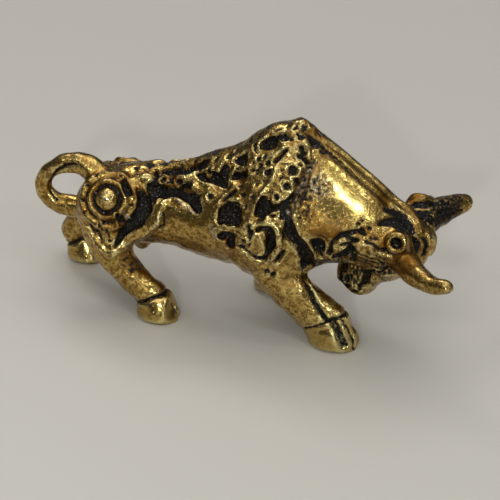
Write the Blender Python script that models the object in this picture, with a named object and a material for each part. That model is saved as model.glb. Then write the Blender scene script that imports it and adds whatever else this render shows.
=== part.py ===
"""A small cast-brass bull: head down, horns forward, tail curled into a loop, flanks carved with scrolls.

The bull is one casting, so it is one solid. It faces +X, its left side is +Y, and it stands on z = 0.
Its pose and carving are counted in shares of its length, which are then scaled to its real length.
"""

import math

import bmesh
import bpy
import numpy as np

# Length from the tail's loop to the horn tips, in metres
BULL_LENGTH = 0.045

# Fineness of the skin, in shares
SKIN_STEP = 0.24
SMOOTHING_FACTOR = 0.5
SMOOTHING_PASSES = 8
LOFT_STEPS = 6
BACK_NARROWING = 0.3
RING_SIDES = 40
SOLID_TRIANGLES = 9600

# Each row of a loft: centre x, y, z, then half width across the body and half depth, in shares
TRUNK = (
    (-17.3, 0, 9.9, 1.6, 1.6),
    (-16.4, 0, 9.9, 3.3, 2.9),
    (-14.5, 0, 9.9, 4.2, 3.6),
    (-11.5, 0, 10.4, 4.3, 4.1),
    (-8.0, 0, 10.9, 4.3, 4.4),
    (-4.0, 0, 11.2, 4.9, 5.6),
    (0.0, 0, 11.9, 5.7, 6.6),
    (2.5, 0, 12.5, 6.1, 7.9),
    (4.6, 0, 12.9, 6.1, 8.5),
    (7.0, 0, 12.8, 5.8, 6.7),
    (9.6, 0, 12.3, 5.3, 4.9),
    (12.2, 0, 11.4, 4.6, 3.8),
    (14.6, 0, 10.8, 3.9, 2.9),
    (16.0, 0, 10.2, 3.0, 2.0),
)
HEAD = (
    (16.0, 0, 11.0, 2.3, 1.0),
    (15.4, 0, 10.3, 3.1, 2.3),
    (14.3, 0, 9.3, 3.1, 2.9),
    (12.8, 0, 8.0, 2.7, 2.5),
    (11.4, 0, 6.5, 2.2, 2.0),
    (10.6, 0, 5.2, 2.2, 2.0),
    (10.1, 0, 4.4, 1.6, 1.4),
)
NEAR_HIND_LEG = (
    (-13.8, -1.8, 10.4, 2.4, 3.0),
    (-13.9, -3.0, 8.8, 1.9, 3.1),
    (-13.5, -3.8, 6.8, 1.6, 2.2),
    (-12.1, -4.1, 5.0, 1.5, 1.7),
    (-10.4, -4.2, 3.2, 1.4, 1.6),
    (-9.2, -4.2, 2.0, 1.5, 2.0),
    (-8.7, -4.2, 1.0, 1.7, 2.2),
    (-8.4, -4.2, -0.6, 1.8, 2.1),
)
FAR_HIND_LEG = (
    (-13.8, 1.8, 10.4, 2.4, 3.0),
    (-15.9, 3.0, 8.4, 1.9, 2.8),
    (-17.7, 3.8, 6.2, 1.5, 1.7),
    (-19.7, 4.1, 4.2, 1.4, 1.6),
    (-20.3, 4.3, 3.0, 1.4, 1.7),
    (-19.8, 4.4, 1.9, 1.5, 1.8),
    (-19.4, 4.4, 0.9, 1.7, 2.0),
    (-19.1, 4.4, -0.6, 1.9, 2.0),
)
NEAR_FORE_LEG = (
    (2.3, -3.2, 12.2, 2.4, 3.4),
    (2.6, -4.0, 9.4, 2.2, 2.7),
    (3.7, -4.2, 6.9, 1.9, 2.2),
    (5.7, -4.2, 4.8, 1.8, 2.1),
    (7.6, -4.2, 3.2, 1.7, 2.3),
    (8.9, -4.2, 1.9, 1.7, 2.5),
    (9.4, -4.2, 0.9, 1.7, 2.5),
    (9.5, -4.2, -0.6, 1.6, 2.3),
)
FAR_FORE_LEG = (
    (2.0, 3.2, 12.2, 2.4, 3.4),
    (1.7, 4.0, 9.4, 2.2, 2.7),
    (1.2, 4.2, 6.8, 1.7, 1.9),
    (0.9, 4.2, 4.5, 1.5, 1.5),
    (0.8, 4.2, 2.5, 1.5, 1.6),
    (0.8, 4.2, 1.2, 1.7, 1.8),
    (0.9, 4.2, -0.6, 1.8, 1.9),
)
TAIL = (
    (-14.8, 0, 11.6, 1.3, 1.3),
    (-15.9, 0, 12.7, 1.3, 1.3),
    (-17.4, 0, 13.6, 1.2, 1.2),
    (-19.2, 0, 13.5, 1.05, 1.05),
    (-21.0, 0, 12.5, 0.9, 0.9),
    (-22.0, 0, 10.7, 0.9, 0.9),
    (-21.4, 0, 9.3, 1.0, 1.0),
    (-19.8, 0, 8.6, 1.1, 1.1),
    (-17.8, 0, 8.7, 1.2, 1.2),
    (-16.2, 0, 9.2, 1.2, 1.2),
)
CREST = (
    (0.0, 0, 17.2, 0.9, 0.5),
    (2.6, 0, 19.8, 0.9, 0.5),
    (4.6, 0, 21.1, 0.9, 0.6),
    (7.0, 0, 19.2, 0.9, 0.6),
    (10.0, 0, 16.7, 0.9, 0.6),
    (12.6, 0, 14.6, 0.9, 0.6),
    (14.9, 0, 12.4, 0.9, 0.6),
    (16.4, 0, 10.8, 0.9, 0.6),
)
NEAR_HORN = (
    (14.6, -1.6, 9.9, 1.6, 1.6),
    (15.9, -3.4, 9.8, 1.4, 1.4),
    (17.6, -5.2, 9.7, 1.15, 1.15),
    (19.2, -6.5, 9.9, 0.9, 0.9),
    (20.5, -7.2, 10.4, 0.8, 0.8),
    (21.2, -7.5, 10.7, 0.5, 0.5),
)
FAR_HORN = (
    (15.2, 1.6, 10.5, 1.6, 1.6),
    (16.2, 3.6, 10.8, 1.7, 1.7),
    (17.3, 5.4, 10.8, 1.45, 1.45),
    (18.4, 7.0, 10.7, 1.2, 1.2),
    (19.6, 8.0, 10.8, 0.9, 0.9),
    (20.1, 8.3, 10.9, 0.5, 0.5),
)
# Each lump: centre x, y, z, half length, half width, half height, and its lean forward in degrees
LUMPS = (
    (-13.6, -2.1, 10.3, 4.1, 2.9, 4.0, 0),
    (-13.8, 1.9, 9.8, 4.1, 2.9, 3.7, 0),
    (2.2, -3.0, 11.8, 4.2, 3.2, 6.0, 20),
    (2.0, 3.0, 11.8, 4.2, 3.2, 6.0, 10),
    (-11.5, -0.5, 6.5, 1.2, 1.1, 1.4, 0),
    (16.8, 0.0, 10.5, 1.3, 1.5, 1.6, 0),
    (16.2, 0.0, 9.0, 1.3, 1.8, 1.4, 0),
    (15.2, -3.5, 12.1, 1.2, 1.0, 1.2, 0),
    (15.6, 3.9, 11.9, 1.4, 1.0, 1.1, 0),
    (13.0, -2.4, 9.4, 2.0, 1.4, 1.5, -20),
    (13.0, 2.4, 9.4, 2.0, 1.4, 1.5, -20),
    (11.7, 0.0, 4.8, 1.0, 1.6, 0.9, 0),
    (9.4, 0.0, 6.0, 1.0, 1.9, 1.2, 0),
)

# Carving on both flanks. A place is its distance forward, then its degrees up round the trunk
POCKET_DEPTH = 0.55
POCKET_WALL = 0.35
POCKETS = (
    ((-12.4, -17, 0.3), (-11.3, -2, 0.65), (-10.4, 12, 0.85), (-10.2, 27, 0.5)),
    ((-10.3, 78, 0.45), (-8.3, 80, 0.5), (-6.2, 79, 0.5), (-4.6, 74, 0.4)),
    ((-9.4, 43, 0.5), (-7.9, 41, 0.75), (-6.4, 43, 0.6), (-5.2, 36, 0.55), (-4.6, 24, 0.5)),
    ((-4.6, 64, 0.4), (-2.9, 56, 0.6), (-1.9, 66, 0.45)),
    ((-2.9, 56, 0.6), (-1.9, 48, 0.5)),
    ((-1.1, 56, 0.4), (0.2, 53, 0.4)),
    ((-0.7, 68, 0.5), (-0.3, 67, 0.5)),
    ((1.4, 73, 0.5), (2.5, 74, 0.5)),
    ((-2.0, 13, 0.5), (-0.9, 18, 0.85), (0.1, 28, 0.6)),
    ((-0.9, 18, 0.85), (-0.1, 12, 0.5)),
    ((-2.1, -5, 0.4), (-0.9, -5, 0.65), (-1.1, -15, 0.4)),
    ((1.9, 14, 0.5), (2.5, 24, 0.65), (2.8, 31, 0.5)),
    ((8.2, -12, 0.6), (8.2, -4, 0.6)),
)
SHOULDER_GROOVE = (
    (6.6, 66, 0.3),
    (5.8, 46, 0.45),
    (4.7, 30, 0.5),
    (4.5, 13, 0.5),
    (4.9, -1, 0.6),
    (5.9, -28, 0.7),
)
SHOULDER_GROOVE_DEPTH = 0.35
SCROLL_RIDGE = (
    (1.7, 9, 0.4),
    (2.5, 11, 0.4),
    (3.3, 8, 0.4),
    (3.9, 0, 0.4),
    (4.1, -10, 0.4),
    (3.8, -20, 0.4),
    (3.2, -27, 0.4),
)
SCROLL_RIDGE_HEIGHT = 0.2
SCROLL_HOLLOW = ((2.3, 4, 0.4), (3.0, 3, 0.45), (3.4, -4, 0.5), (3.4, -11, 0.5), (3.0, -17, 0.4))
THIGH_BAND = ((-13.0, -27, 0.45), (-11.5, -26, 0.45), (-9.5, -9, 0.45), (-8.6, 4, 0.4))
THIGH_BAND_HEIGHT = 0.2

# Rings carved round a boss on each haunch. Each is its radius, its half width and its height
HAUNCH_BOSS = (-13.7, 4.4, 12.7)
HAUNCH_DOME = 1.2
HAUNCH_DOME_HEIGHT = 0.35
HAUNCH_RINGS = ((1.45, 0.35, -0.4), (1.95, 0.3, 0.15), (2.45, 0.35, -0.35), (3.05, 0.35, 0.15))

# Ears like small cups
EAR_CUPS = ((15.1, -4.6, 12.7), (15.5, 5.0, 12.5))
EAR_HOLE = 0.5
EAR_HOLE_DEPTH = 0.8
EAR_RIM = 0.95
EAR_RIM_HEIGHT = 0.3

# Eyes, nostrils and the mouth, the same on both sides. Each pit has its place, radius and depth
FACE_PITS = (
    (14.9, 3.2, 9.2, 0.45, 0.5),
    (12.3, 0.9, 4.6, 0.4, 0.4),
    (12.9, 2.3, 7.2, 0.5, 0.3),
)

# Hooves: a line where the horn of the hoof starts, and a cleft down its front
HOOF_CENTRES = ((-8.6, -4.2), (-19.2, 4.4), (9.5, -4.2), (0.8, 4.2))
HOOF_REACH = 3.2
HOOF_LINE_HEIGHT = 2.7
HOOF_LINE_TILT = 0.3
HOOF_LINE_HALF_WIDTH = 0.3
HOOF_LINE_DEPTH = 0.35
CLEFT_HALF_WIDTH = 0.3
CLEFT_DEPTH = 0.5

# Metal
BRASS_COLOUR = (0.58, 0.40, 0.12, 1.0)
BRASS_ROUGHNESS = 0.25


def clear_scene():
    for obj in list(bpy.data.objects):
        bpy.data.objects.remove(obj, do_unlink=True)


def brass():
    """Polished brass."""
    material = bpy.data.materials.new("brass")
    material.use_nodes = True
    shader = material.node_tree.nodes["Principled BSDF"]
    shader.inputs["Base Color"].default_value = BRASS_COLOUR
    shader.inputs["Metallic"].default_value = 1.0
    shader.inputs["Roughness"].default_value = BRASS_ROUGHNESS
    return material


def flowing(rows):
    """The rows with smooth rows in between, along the curve that passes through each of them."""
    rows = np.array(rows, float)
    ends = np.vstack([2 * rows[0] - rows[1], rows, 2 * rows[-1] - rows[-2]])
    share = (np.arange(LOFT_STEPS) / LOFT_STEPS)[:, None]
    pieces = []
    for before, start, stop, after in zip(ends, ends[1:], ends[2:], ends[3:]):
        slope = (stop - before) * share
        bend = (2 * before - 5 * start + 4 * stop - after) * share**2
        swing = (3 * start - before - 3 * stop + after) * share**3
        pieces.append(start + (slope + bend + swing) / 2)
    return np.vstack(pieces + [rows[-1:]])


def mesh_object(name, points, faces):
    mesh = bpy.data.meshes.new(name)
    mesh.from_pydata(points.tolist(), [], faces)
    obj = bpy.data.objects.new(name, mesh)
    bpy.context.collection.objects.link(obj)
    return obj


def loft(name, rows, narrowing=0.0):
    """A closed form of rings around a curve, which may narrow on its upper side.

    Each row gives a centre, the half width and the half depth.
    """
    rows = flowing(rows)
    centres = rows[:, :3]
    along = np.gradient(centres, axis=0)
    along /= np.linalg.norm(along, axis=1)[:, None]
    across = np.array([0.0, 1.0, 0.0]) - along * along[:, 1:2]
    across /= np.linalg.norm(across, axis=1)[:, None]
    upward = np.cross(along, across)
    turn = np.arange(RING_SIDES) * 2 * math.pi / RING_SIDES
    width = np.cos(turn) * (1 - narrowing * np.maximum(np.sin(turn), 0))
    wide = width[None, :, None] * across[:, None] * rows[:, None, 3:4]
    deep = np.sin(turn)[None, :, None] * upward[:, None] * rows[:, None, 4:5]
    points = (centres[:, None] + wide + deep).reshape(-1, 3)
    faces = [tuple(range(RING_SIDES))[::-1]]
    last = (len(rows) - 1) * RING_SIDES
    faces.append(tuple(range(last, last + RING_SIDES)))
    for ring in range(len(rows) - 1):
        start = ring * RING_SIDES
        for side in range(RING_SIDES):
            following = (side + 1) % RING_SIDES
            faces.append((start + side, start + following,
                          start + RING_SIDES + following, start + RING_SIDES + side))
    return mesh_object(name, points, faces)


def lump(name, row):
    """A rounded lump, an ellipsoid that may lean forward."""
    x, y, z, length, width, height, lean = row
    shape = bmesh.new()
    bmesh.ops.create_uvsphere(shape, u_segments=32, v_segments=16, radius=1.0)
    mesh = bpy.data.meshes.new(name)
    shape.to_mesh(mesh)
    shape.free()
    points = np.empty(len(mesh.vertices) * 3)
    mesh.vertices.foreach_get("co", points)
    points = points.reshape(-1, 3) * (length, width, height)
    cosine = math.cos(math.radians(lean))
    sine = math.sin(math.radians(lean))
    leaning = np.column_stack([points[:, 0] * cosine + points[:, 2] * sine, points[:, 1],
                               points[:, 2] * cosine - points[:, 0] * sine])
    mesh.vertices.foreach_set("co", (leaning + (x, y, z)).ravel())
    obj = bpy.data.objects.new(name, mesh)
    bpy.context.collection.objects.link(obj)
    return obj


def joined(objects, name):
    """One object that holds the meshes of them all."""
    whole = bmesh.new()
    for obj in objects:
        whole.from_mesh(obj.data)
        bpy.data.objects.remove(obj, do_unlink=True)
    bmesh.ops.recalc_face_normals(whole, faces=whole.faces)
    mesh = bpy.data.meshes.new(name)
    whole.to_mesh(mesh)
    whole.free()
    obj = bpy.data.objects.new(name, mesh)
    bpy.context.collection.objects.link(obj)
    return obj


def baked(obj):
    """Gives the object the mesh that its modifiers make, and takes the modifiers off."""
    bpy.context.view_layer.update()
    graph = bpy.context.evaluated_depsgraph_get()
    mesh = bpy.data.meshes.new_from_object(obj.evaluated_get(graph))
    obj.modifiers.clear()
    obj.data = mesh


def cast_skin(obj):
    """One even skin round all the forms, with soft hollows where they meet."""
    remesh = obj.modifiers.new("skin", "REMESH")
    remesh.mode = "VOXEL"
    remesh.voxel_size = SKIN_STEP
    soften = obj.modifiers.new("soften", "SMOOTH")
    soften.factor = SMOOTHING_FACTOR
    soften.iterations = SMOOTHING_PASSES
    baked(obj)


def keep_outer_skin(obj):
    """Deletes the pockets of skin that are left inside, where forms overlap."""
    shape = bmesh.new()
    shape.from_mesh(obj.data)
    shape.verts.ensure_lookup_table()
    outer = {max(shape.verts, key=lambda vert: vert.co.z)}
    edge_of_search = list(outer)
    while edge_of_search:
        vert = edge_of_search.pop()
        found = {edge.other_vert(vert) for edge in vert.link_edges} - outer
        outer |= found
        edge_of_search.extend(found)
    inner = [vert for vert in shape.verts if vert not in outer]
    bmesh.ops.delete(shape, geom=inner, context="VERTS")
    shape.to_mesh(obj.data)
    shape.free()


def eased(share):
    """0 below 0, 1 above 1, and a soft slope in between."""
    share = np.clip(share, 0, 1)
    return share * share * (3 - 2 * share)


def inside_stroke(body, stops, wall):
    """How far each point lies inside a stroke that runs from stop to stop: 0 outside, 1 past its wall."""
    forward, angle, girth = body
    most = np.zeros(len(forward))
    for start, stop in zip(stops, stops[1:] + stops[-1:]):
        run = (stop[0] - start[0], girth * (stop[1] - start[1]))
        from_start = (forward - start[0], girth * (angle - start[1]))
        length = run[0] ** 2 + run[1] ** 2 + 1e-9
        share = np.clip((from_start[0] * run[0] + from_start[1] * run[1]) / length, 0, 1)
        away = np.hypot(from_start[0] - share * run[0], from_start[1] - share * run[1])
        radius = start[2] + share * (stop[2] - start[2])
        most = np.maximum(most, eased((radius - away) / wall + 0.5))
    return most


def band(away, half_width):
    """1 on a line and 0 from half_width away."""
    return eased(1 - np.abs(away) / half_width)


def flank_carving(points):
    """How far the skin rises on the flanks, with the same carving on both."""
    forward = points[:, 0]
    trunk = np.array(TRUNK)
    above = points[:, 2] - np.interp(forward, trunk[:, 0], trunk[:, 2])
    beside = np.abs(points[:, 1])
    angle = np.degrees(np.arctan2(above, beside))
    body = (forward, angle, np.hypot(above, beside) * math.pi / 180)
    rise = np.zeros(len(points))
    rise += THIGH_BAND_HEIGHT * inside_stroke(body, THIGH_BAND, POCKET_WALL)
    rise += SCROLL_RIDGE_HEIGHT * inside_stroke(body, SCROLL_RIDGE, POCKET_WALL)
    rise -= SHOULDER_GROOVE_DEPTH * inside_stroke(body, SHOULDER_GROOVE, POCKET_WALL)
    sunk = inside_stroke(body, SCROLL_HOLLOW, POCKET_WALL)
    for stops in POCKETS:
        sunk = np.maximum(sunk, inside_stroke(body, stops, POCKET_WALL))
    return rise - POCKET_DEPTH * sunk


def haunch_carving(points):
    """How far the skin rises in rings round the boss on each haunch."""
    mirrored = np.column_stack([points[:, 0], np.abs(points[:, 1]), points[:, 2]])
    away = np.linalg.norm(mirrored - HAUNCH_BOSS, axis=1)
    rise = HAUNCH_DOME_HEIGHT * eased((HAUNCH_DOME - away) / HAUNCH_DOME)
    for radius, half_width, height in HAUNCH_RINGS:
        rise += height * band(away - radius, half_width)
    return rise


def head_carving(points):
    """How far the skin rises at the ears and the face."""
    rise = np.zeros(len(points))
    for centre in EAR_CUPS:
        away = np.linalg.norm(points - centre, axis=1)
        rise += EAR_RIM_HEIGHT * band(away - EAR_RIM, EAR_RIM - EAR_HOLE)
        rise -= EAR_HOLE_DEPTH * eased((EAR_HOLE - away) / EAR_HOLE + 0.5)
    for x, y, z, radius, depth in FACE_PITS:
        away = np.linalg.norm(points * (1, 0, 1) + np.abs(points) * (0, 1, 0) - (x, y, z), axis=1)
        rise -= depth * eased((radius - away) / radius + 0.5)
    return rise


def hoof_carving(points):
    rise = np.zeros(len(points))
    for x, y in HOOF_CENTRES:
        ahead = points[:, 0] - x
        near = np.hypot(ahead, points[:, 1] - y) < HOOF_REACH
        up = points[:, 2] - HOOF_LINE_HEIGHT - HOOF_LINE_TILT * ahead
        rise -= near * HOOF_LINE_DEPTH * band(up, HOOF_LINE_HALF_WIDTH)
        cleft = band(points[:, 1] - y, CLEFT_HALF_WIDTH) * (ahead > 0) * eased(-up)
        rise -= near * CLEFT_DEPTH * cleft
    return rise


def carve(obj):
    """Moves the skin in and out along its own direction."""
    mesh = obj.data
    points = np.empty(len(mesh.vertices) * 3)
    outward = np.empty(len(mesh.vertices) * 3)
    mesh.vertices.foreach_get("co", points)
    mesh.vertices.foreach_get("normal", outward)
    points = points.reshape(-1, 3)
    rise = flank_carving(points) + haunch_carving(points) + head_carving(points) + hoof_carving(points)
    points += outward.reshape(-1, 3) * rise[:, None]
    mesh.vertices.foreach_set("co", points.ravel())
    mesh.update()


def thin_out(obj):
    """Leaves the triangles where the form needs them."""
    obj.data.calc_loop_triangles()
    thin = obj.modifiers.new("thin", "DECIMATE")
    thin.ratio = SOLID_TRIANGLES / len(obj.data.loop_triangles)
    thin.use_collapse_triangulate = True
    baked(obj)


def flatten_soles(obj):
    """Cuts the hooves off flat on the ground."""
    shape = bmesh.new()
    shape.from_mesh(obj.data)
    everything = shape.verts[:] + shape.edges[:] + shape.faces[:]
    cut = bmesh.ops.bisect_plane(shape, geom=everything, plane_co=(0, 0, 0),
                                 plane_no=(0, 0, -1), clear_outer=True)
    rim = [item for item in cut["geom_cut"] if isinstance(item, bmesh.types.BMEdge)]
    bmesh.ops.holes_fill(shape, edges=rim)
    bmesh.ops.triangulate(shape, faces=[face for face in shape.faces if len(face.verts) > 3])
    bmesh.ops.recalc_face_normals(shape, faces=shape.faces)
    shape.to_mesh(obj.data)
    shape.free()


def to_real_size(obj):
    """Scales the bull to its real length, with the middle of its box over the origin."""
    points = np.empty(len(obj.data.vertices) * 3)
    obj.data.vertices.foreach_get("co", points)
    points = points.reshape(-1, 3)
    low = points.min(axis=0)
    high = points.max(axis=0)
    share = BULL_LENGTH / (high[0] - low[0])
    middle = (low + high) / 2 * (1, 1, 0)
    obj.data.vertices.foreach_set("co", ((points - middle) * share).ravel())
    obj.data.update()


def build_bull():
    lofts = (HEAD, NEAR_HIND_LEG, FAR_HIND_LEG, NEAR_FORE_LEG, FAR_FORE_LEG, TAIL, CREST,
             NEAR_HORN, FAR_HORN)
    forms = [loft("form", TRUNK, BACK_NARROWING)]
    forms += [loft("form", rows) for rows in lofts]
    forms += [lump("form", row) for row in LUMPS]
    bull = joined(forms, "bull")
    cast_skin(bull)
    keep_outer_skin(bull)
    carve(bull)
    thin_out(bull)
    flatten_soles(bull)
    to_real_size(bull)
    bull.data.materials.clear()
    bull.data.materials.append(brass())
    return bull


clear_scene()
build_bull()
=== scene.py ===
# %% [markdown]
# # A small cast-brass bull
# The real object is one solid casting about as long as a thumb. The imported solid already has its
# outline, its pose and its main carving. This lesson gives it what a step closer shows: the crisp
# walls of the scrollwork, the small rings and pits, and brass that is bright on the high places and
# black in the low ones.

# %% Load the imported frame
import math

import bmesh
import bpy
import numpy as np
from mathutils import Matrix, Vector


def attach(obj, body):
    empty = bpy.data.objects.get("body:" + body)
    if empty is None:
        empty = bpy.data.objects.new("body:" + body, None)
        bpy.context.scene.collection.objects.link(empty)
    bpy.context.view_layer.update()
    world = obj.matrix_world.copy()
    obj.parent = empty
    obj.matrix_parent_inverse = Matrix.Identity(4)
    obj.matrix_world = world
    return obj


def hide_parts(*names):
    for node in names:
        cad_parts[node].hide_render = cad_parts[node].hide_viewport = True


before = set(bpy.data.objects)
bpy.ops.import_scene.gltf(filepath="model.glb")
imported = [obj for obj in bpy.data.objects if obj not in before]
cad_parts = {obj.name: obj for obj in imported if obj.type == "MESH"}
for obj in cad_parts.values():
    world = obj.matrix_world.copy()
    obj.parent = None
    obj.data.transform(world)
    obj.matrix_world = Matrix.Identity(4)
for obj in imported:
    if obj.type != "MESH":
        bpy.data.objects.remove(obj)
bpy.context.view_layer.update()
MM = 0.001

# %% [markdown]
# ## Where the camera stands
# The bull is seen from its right, a little from the front and from well above. A long lens from
# 20 cm away keeps its legs nearly parallel, as in a photograph of something this small. The camera
# is placed by two angles round a target, which is easier to correct than three coordinates.

# %% Camera
CAMERA_AZIMUTH = math.radians(16)
CAMERA_ELEVATION = math.radians(32)
CAMERA_TARGET = Vector((0.34, -0.41, 6.65)) * MM
CAMERA_DISTANCE = 203.6 * MM
CAMERA_LENS = 145.8
CLIP_START = 10 * MM


def direction(azimuth, elevation):
    """A unit arrow out of the target: azimuth turns it from -Y to +X, elevation lifts it."""
    level = math.cos(elevation)
    return Vector((math.sin(azimuth) * level, -math.cos(azimuth) * level, math.sin(elevation)))


camera = bpy.data.objects.new("camera", bpy.data.cameras.new("camera"))
camera.data.lens = CAMERA_LENS
camera.data.clip_start = CLIP_START
back = direction(CAMERA_AZIMUTH, CAMERA_ELEVATION)
camera.location = CAMERA_TARGET + back * CAMERA_DISTANCE
camera.rotation_euler = back.to_track_quat("Z", "Y").to_euler()
bpy.context.collection.objects.link(camera)
bpy.context.scene.camera = camera
print("camera at, mm:", [round(side / MM, 1) for side in camera.location])

# %% [markdown]
# ## One skin, fine enough to carve
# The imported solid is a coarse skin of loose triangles. A merged copy is closed again, and a voxel
# remesh gives it small, even faces that fine relief can bend. The voxel is as small as a piece of
# under 200,000 triangles allows. Sculpting by hand would also work, but it could not be worked out
# again from named values.

# %% Fine skin
VOXEL = 0.172
SAME_POINT = 0.001


def merged_copy(node, name):
    """A copy of a node's loose triangles with its doubled points joined."""
    mesh = node.data.copy()
    shape = bmesh.new()
    shape.from_mesh(mesh)
    bmesh.ops.remove_doubles(shape, verts=shape.verts, dist=SAME_POINT * MM)
    shape.to_mesh(mesh)
    shape.free()
    obj = bpy.data.objects.new(name, mesh)
    bpy.context.collection.objects.link(obj)
    return obj


def apply_modifiers(obj):
    """Keeps the mesh that the modifiers make, and drops the modifiers."""
    bpy.context.view_layer.update()
    graph = bpy.context.evaluated_depsgraph_get()
    mesh = bpy.data.meshes.new_from_object(obj.evaluated_get(graph))
    obj.modifiers.clear()
    obj.data = mesh


bull = merged_copy(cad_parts["bull"], "brass_bull")
remesh = bull.modifiers.new("even faces", "REMESH")
remesh.mode = "VOXEL"
remesh.voxel_size = VOXEL * MM
remesh.use_smooth_shade = True
apply_modifiers(bull)
print("fine skin:", len(bull.data.vertices), "points,", len(bull.data.polygons), "faces")

# %% [markdown]
# ## Points, edges and outward arrows as arrays
# All carving here is one idea: every point of the skin moves along its own outward arrow by a
# height that a formula gives it. The points are read once into an array in millimetres, so each
# formula works on all of them at the same time. Before anything is carved, a few smoothing passes
# take the facets off everything but the flat soles.

# %% Arrays
SMOOTHING_PASSES = 9
SOLE_HEIGHT = 0.35


def read(collection, field, width, kind=float):
    """One field of a whole mesh collection as an array."""
    values = np.empty(len(collection) * width, kind)
    collection.foreach_get(field, values)
    return values.reshape(-1, width)


edges = read(bull.data.edges, "vertices", 2, np.int32)
joins = np.bincount(edges.ravel(), minlength=len(bull.data.vertices))[:, None]


def neighbours_mean(values):
    """Each point's mean over the points that an edge joins it to."""
    total = np.empty_like(values)
    for column in range(values.shape[1]):
        total[:, column] = np.bincount(edges[:, 0], values[edges[:, 1], column], len(values))
        total[:, column] += np.bincount(edges[:, 1], values[edges[:, 0], column], len(values))
    return total / joins


def smoothed(values, passes, factor=0.5):
    """Pulls each value part of the way to its neighbours' mean, again and again."""
    for _ in range(passes):
        values = values + factor * (neighbours_mean(values) - values)
    return values


def outward_arrows():
    """Each point's unit arrow out of the skin."""
    return read(bull.data.vertices, "normal", 3)


def move_to(points):
    """Puts the bull's skin at these points, told in mm."""
    bull.data.vertices.foreach_set("co", (points * MM).ravel())
    bull.data.update()


points = read(bull.data.vertices, "co", 3) / MM
above_sole = np.clip(points[:, 2:] / SOLE_HEIGHT, 0, 1)
points += above_sole * (smoothed(points, SMOOTHING_PASSES) - points)
move_to(points)
outward = outward_arrows()
print("smoothed box, mm:", points.min(axis=0).round(2), points.max(axis=0).round(2))

# %% [markdown]
# ## Places on the flank
# The scrollwork lies on a barrel, so a place on it is told as on a barrel: how far forward it is,
# and how many degrees it lies up round the middle line of the trunk. The same places on the other
# flank come from the mirror, as both halves of such a mould are cut alike. A few small helpers turn
# distances and places into soft shares from 0 to 1, and all the carving is written with them.

# %% Flank coordinates
TRUNK_MIDDLE = ((-16.9, 10.1), (-14.0, 10.1), (-11.0, 10.6), (-7.4, 11.1), (-3.3, 11.4),
                (0.75, 12.1), (3.3, 12.7), (5.4, 13.1), (7.9, 13.0), (10.5, 12.5), (13.2, 11.6),
                (15.6, 11.0), (17.0, 10.4))
MIDDLE_Y = -0.41

forward = points[:, 0]
beside = np.abs(points[:, 1] - MIDDLE_Y)
above = points[:, 2] - np.interp(forward, *np.array(TRUNK_MIDDLE).T)
angle = np.degrees(np.arctan2(above, beside))
girth = np.hypot(above, beside) * math.pi / 180
mirrored = np.column_stack([forward, beside, points[:, 2]])
print("places lie from", round(float(angle.min())), "to", round(float(angle.max())), "degrees up")

# %% Soft shares
def eased(share):
    """0 below 0, 1 above 1, and a soft slope between."""
    share = np.clip(share, 0, 1)
    return share * share * (3 - 2 * share)


def band(away, half_width):
    """1 on a line, falling softly to 0 at half_width from it."""
    return eased(1 - np.abs(away) / half_width)


def window(values, *stops):
    """With two stops: 0 before the first and 1 past the second. Two more stops close it again.
    Given -values, it opens downwards."""
    inside = eased((values - stops[0]) / (stops[1] - stops[0]))
    if len(stops) > 2:
        inside = inside * eased((stops[3] - values) / (stops[3] - stops[2]))
    return inside


def ball(centre, full, none):
    """1 within the first distance of a place on both sides of the body, 0 beyond the second."""
    return window(-np.linalg.norm(mirrored - centre, axis=1), -none, -full)


def patch(ahead, up):
    """A soft patch of the flank, between stops forward and stops in degrees up."""
    return window(forward, *ahead) * window(angle, *up)


# %% Brush strokes
WOBBLES = ((1.9, 3.1, 2.3), (-3.4, 1.2, 2.9), (3.7, -2.6, 1.7))
WOBBLE = 0.035
FORWARD_START = 0.4
UPWARD_START = 2.1


def hand_wobble(start):
    """A small wander of the carver's hand: the sum of a few slanting sine waves."""
    waves = [np.sin(mirrored @ np.array(arrow) + start * (number + 1))
             for number, arrow in enumerate(WOBBLES)]
    return WOBBLE * np.sum(waves, axis=0)


along_flank = forward + hand_wobble(FORWARD_START)
up_flank = angle + hand_wobble(UPWARD_START) / np.maximum(girth, 0.01)
OUTSIDE = -9.0
TINY = 1e-9


def stroke(stops):
    """How deep each point is inside a brush stroke, in mm: the brush radius less the distance
    from the line through the stops (forward, degrees up, brush radius). Negative outside."""
    deepest = np.full(len(forward), OUTSIDE)
    for start, stop in zip(stops, stops[1:] + stops[-1:]):
        run = (stop[0] - start[0], girth * (stop[1] - start[1]))
        gone = (along_flank - start[0], girth * (up_flank - start[1]))
        length_squared = run[0] ** 2 + run[1] ** 2 + TINY
        share = np.clip((gone[0] * run[0] + gone[1] * run[1]) / length_squared, 0, 1)
        away = np.hypot(gone[0] - share * run[0], gone[1] - share * run[1])
        deepest = np.maximum(deepest, start[2] + share * (stop[2] - start[2]) - away)
    return deepest


def strokes(several):
    """The deepest of several strokes at each point."""
    deepest = np.full(len(forward), OUTSIDE)
    for stops in several:
        deepest = np.maximum(deepest, stroke(stops))
    return deepest


def dots(places):
    """The field of several round dots, each a place and a radius."""
    return strokes([(place,) for place in places])


def filled(field, wall, start=0.5):
    """A stroke's field as a share from 0 outside to 1 inside, over a wall this wide. A start of
    0.5 centres the wall on the stroke's edge, and a higher one lets it begin further out."""
    return eased(field / wall + start)


rise = np.zeros(len(points))
recess = np.zeros(len(points))
print("wobble up to, mm:", round(float(np.abs(along_flank - forward).max()), 3))

# %% [markdown]
# ## The black pockets of the scrollwork
# Between the gold scrolls the metal is sunk into pockets with steep walls and rough floors. Each
# pocket is a run of brush strokes. One field says how deep a point lies inside its stroke, and from
# that field come both the steep wall and the thin lip that catches the light round the edge.

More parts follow.
